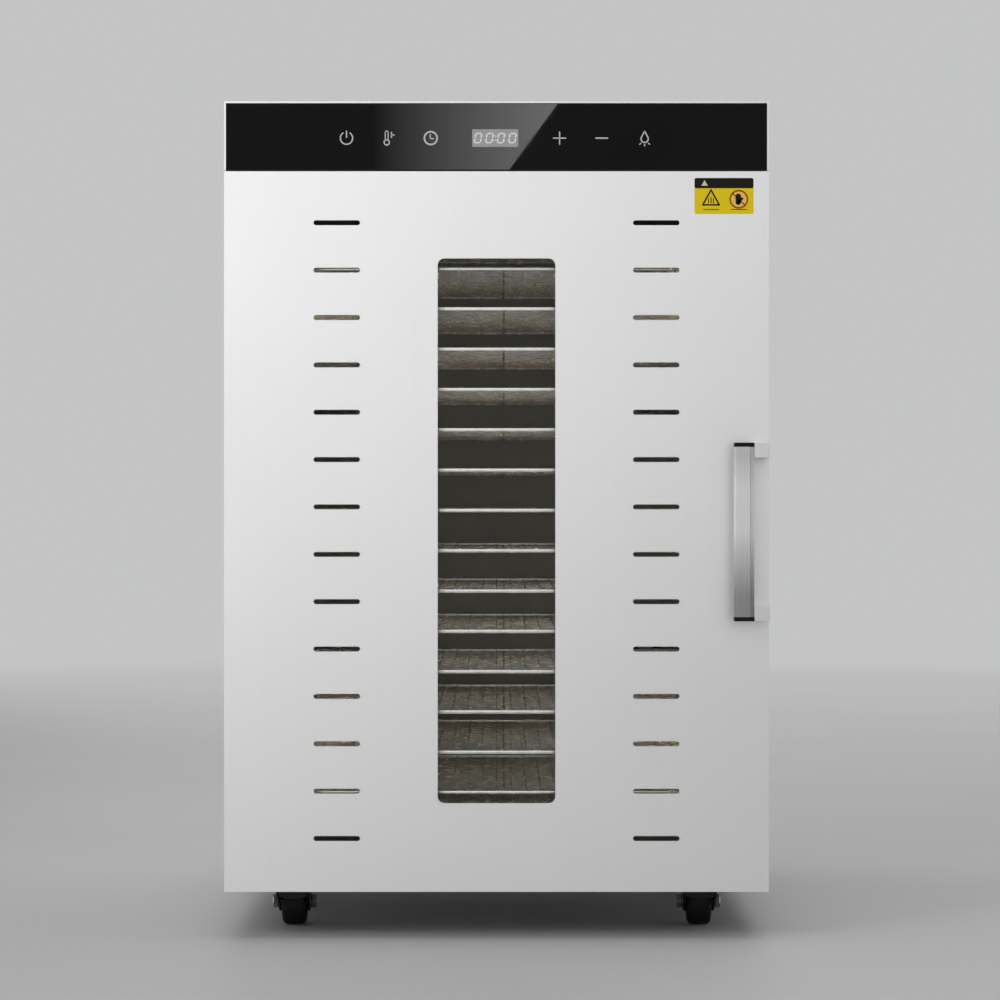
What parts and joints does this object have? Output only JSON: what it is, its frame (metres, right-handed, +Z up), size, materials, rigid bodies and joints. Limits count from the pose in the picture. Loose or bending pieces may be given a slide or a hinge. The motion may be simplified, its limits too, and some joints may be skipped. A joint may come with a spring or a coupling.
{
  "type": "food dehydrator",
  "caption": "Tall stainless food dehydrator on swivel casters: glazed, slotted door over wire trays, black touch strip, bar handle, rear fans and heaters.",
  "frame": {"origin": "on the floor, in the middle of the overall footprint", "axes": "+Z up, the door faces -Y, the hinge is at -X and the handle at +X"},
  "size_m": [0.436, 0.52, 0.67],
  "materials": {
    "shell_steel": "brushed stainless",
    "frame_steel": "satin stainless",
    "liner_steel": "satin stainless",
    "galvanised": "galvanised sheet",
    "guard_wire": "bright plated wire",
    "heater_tube": "oxidised steel tube",
    "motor_case": "grey enamel",
    "housing_black": "black powder coat",
    "panel_glass": "glossy black glass",
    "board": "solder resist",
    "probe_steel": "satin",
    "lamp_lens": "opal diffuser",
    "inlet_plastic": "moulded",
    "wire_cover": "satin",
    "hinge_steel": "satin",
    "magnet": "matte",
    "screw_steel": "bright",
    "caster_zinc": "zinc plated",
    "door_steel": "brushed stainless",
    "window_glass": "clear",
    "gasket": "matte",
    "seal": "matte silicone",
    "grip_steel": "dark brushed",
    "arm_steel": "satin",
    "cap_black": "gloss black",
    "sticker": "printed sticker",
    "nylon": "natural nylon",
    "impeller": "stamped",
    "caster_paint": "black enamel",
    "wheel_rubber": "satin",
    "tray_wire": "bright stainless wire"
  },
  "bodies": {
    "cabinet": {"outer_shell": "shell_steel", "front_frame": "frame_steel", "chamber_liner": "liner_steel", "chamber_floor": "liner_steel", "rear_baffle": "liner_steel", "tray_slides": "liner_steel", "base_plate": "galvanised", "rear_panel": "shell_steel", "fan_guards": "guard_wire", "heater_rings": "heater_tube", "fan_motors": "motor_case", "control_housing": "housing_black", "control_glass": "panel_glass", "touch_board": "board", "power_board": "board", "thermal_sensors": "probe_steel", "chamber_lamps": "lamp_lens", "power_inlet": "inlet_plastic", "wiring_harness": "wire_cover", "hinge_brackets": "hinge_steel", "door_magnets": "magnet", "body_screws": "screw_steel", "caster_plates": "caster_zinc"},
    "door": {"door_panel": "door_steel", "door_glass": "window_glass", "glass_gasket": "gasket", "glass_retainer": "frame_steel", "door_screws": "screw_steel", "door_seal": "seal", "handle_grip": "grip_steel", "handle_arms": "arm_steel", "handle_caps": "cap_black", "door_label": "sticker", "hinge_bushes": "nylon"},
    "fan_lower": {"fan_impeller_lower": "impeller"},
    "fan_upper": {"fan_impeller_upper": "impeller"},
    "fork_front_left": {"caster_fork_front_left": "caster_paint"},
    "wheel_front_left": {"caster_wheel_front_left": "wheel_rubber"},
    "fork_front_right": {"caster_fork_front_right": "caster_paint"},
    "wheel_front_right": {"caster_wheel_front_right": "wheel_rubber"},
    "fork_rear_left": {"caster_fork_rear_left": "caster_paint"},
    "wheel_rear_left": {"caster_wheel_rear_left": "wheel_rubber"},
    "fork_rear_right": {"caster_fork_rear_right": "caster_paint"},
    "wheel_rear_right": {"caster_wheel_rear_right": "wheel_rubber"},
    "tray_01": {"tray_01": "tray_wire"},
    "tray_02": {"tray_02": "tray_wire"},
    "tray_03": {"tray_03": "tray_wire"},
    "tray_04": {"tray_04": "tray_wire"},
    "tray_05": {"tray_05": "tray_wire"},
    "tray_06": {"tray_06": "tray_wire"},
    "tray_07": {"tray_07": "tray_wire"},
    "tray_08": {"tray_08": "tray_wire"},
    "tray_09": {"tray_09": "tray_wire"},
    "tray_10": {"tray_10": "tray_wire"},
    "tray_11": {"tray_11": "tray_wire"},
    "tray_12": {"tray_12": "tray_wire"},
    "tray_13": {"tray_13": "tray_wire"},
    "tray_14": {"tray_14": "tray_wire"},
    "tray_15": {"tray_15": "tray_wire"},
    "tray_16": {"tray_16": "tray_wire"}
  },
  "joints": [
    {"name": "door_hinge", "type": "hinge", "parent": "cabinet", "child": "door", "pos_m": [-0.211, -0.215, 0.32575], "axis": [0, 0, -1], "range_deg": [0, 110]},
    {"name": "swivel_front_left", "type": "hinge", "parent": "cabinet", "child": "fork_front_left", "pos_m": [-0.167, -0.146, 0.042], "axis": [0, 0, 1], "continuous": true},
    {"name": "roll_front_left", "type": "hinge", "parent": "fork_front_left", "child": "wheel_front_left", "pos_m": [-0.167, -0.134, 0.019], "axis": [1, 0, 0], "continuous": true},
    {"name": "swivel_front_right", "type": "hinge", "parent": "cabinet", "child": "fork_front_right", "pos_m": [0.167, -0.146, 0.042], "axis": [0, 0, 1], "continuous": true},
    {"name": "roll_front_right", "type": "hinge", "parent": "fork_front_right", "child": "wheel_front_right", "pos_m": [0.167, -0.134, 0.019], "axis": [1, 0, 0], "continuous": true},
    {"name": "swivel_rear_left", "type": "hinge", "parent": "cabinet", "child": "fork_rear_left", "pos_m": [-0.167, 0.17, 0.042], "axis": [0, 0, 1], "continuous": true},
    {"name": "roll_rear_left", "type": "hinge", "parent": "fork_rear_left", "child": "wheel_rear_left", "pos_m": [-0.167, 0.182, 0.019], "axis": [1, 0, 0], "continuous": true},
    {"name": "swivel_rear_right", "type": "hinge", "parent": "cabinet", "child": "fork_rear_right", "pos_m": [0.167, 0.17, 0.042], "axis": [0, 0, 1], "continuous": true},
    {"name": "roll_rear_right", "type": "hinge", "parent": "fork_rear_right", "child": "wheel_rear_right", "pos_m": [0.167, 0.182, 0.019], "axis": [1, 0, 0], "continuous": true},
    {"name": "fan_spin_lower", "type": "hinge", "parent": "cabinet", "child": "fan_lower", "pos_m": [0, 0.21, 0.19725], "axis": [0, 1, 0], "continuous": true},
    {"name": "fan_spin_upper", "type": "hinge", "parent": "cabinet", "child": "fan_upper", "pos_m": [0, 0.21, 0.46575], "axis": [0, 1, 0], "continuous": true},
    {"name": "tray_01_slide", "type": "slide", "parent": "cabinet", "child": "tray_01", "axis": [0, -1, 0], "range_m": [0, 0.016]},
    {"name": "tray_02_slide", "type": "slide", "parent": "cabinet", "child": "tray_02", "axis": [0, -1, 0], "range_m": [0, 0.016]},
    {"name": "tray_03_slide", "type": "slide", "parent": "cabinet", "child": "tray_03", "axis": [0, -1, 0], "range_m": [0, 0.016]},
    {"name": "tray_04_slide", "type": "slide", "parent": "cabinet", "child": "tray_04", "axis": [0, -1, 0], "range_m": [0, 0.016]},
    {"name": "tray_05_slide", "type": "slide", "parent": "cabinet", "child": "tray_05", "axis": [0, -1, 0], "range_m": [0, 0.016]},
    {"name": "tray_06_slide", "type": "slide", "parent": "cabinet", "child": "tray_06", "axis": [0, -1, 0], "range_m": [0, 0.016]},
    {"name": "tray_07_slide", "type": "slide", "parent": "cabinet", "child": "tray_07", "axis": [0, -1, 0], "range_m": [0, 0.016]},
    {"name": "tray_08_slide", "type": "slide", "parent": "cabinet", "child": "tray_08", "axis": [0, -1, 0], "range_m": [0, 0.016]},
    {"name": "tray_09_slide", "type": "slide", "parent": "cabinet", "child": "tray_09", "axis": [0, -1, 0], "range_m": [0, 0.016]},
    {"name": "tray_10_slide", "type": "slide", "parent": "cabinet", "child": "tray_10", "axis": [0, -1, 0], "range_m": [0, 0.016]},
    {"name": "tray_11_slide", "type": "slide", "parent": "cabinet", "child": "tray_11", "axis": [0, -1, 0], "range_m": [0, 0.016]},
    {"name": "tray_12_slide", "type": "slide", "parent": "cabinet", "child": "tray_12", "axis": [0, -1, 0], "range_m": [0, 0.016]},
    {"name": "tray_13_slide", "type": "slide", "parent": "cabinet", "child": "tray_13", "axis": [0, -1, 0], "range_m": [0, 0.016]},
    {"name": "tray_14_slide", "type": "slide", "parent": "cabinet", "child": "tray_14", "axis": [0, -1, 0], "range_m": [0, 0.016]},
    {"name": "tray_15_slide", "type": "slide", "parent": "cabinet", "child": "tray_15", "axis": [0, -1, 0], "range_m": [0, 0.016]},
    {"name": "tray_16_slide", "type": "slide", "parent": "cabinet", "child": "tray_16", "axis": [0, -1, 0], "range_m": [0, 0.016]}
  ]
}
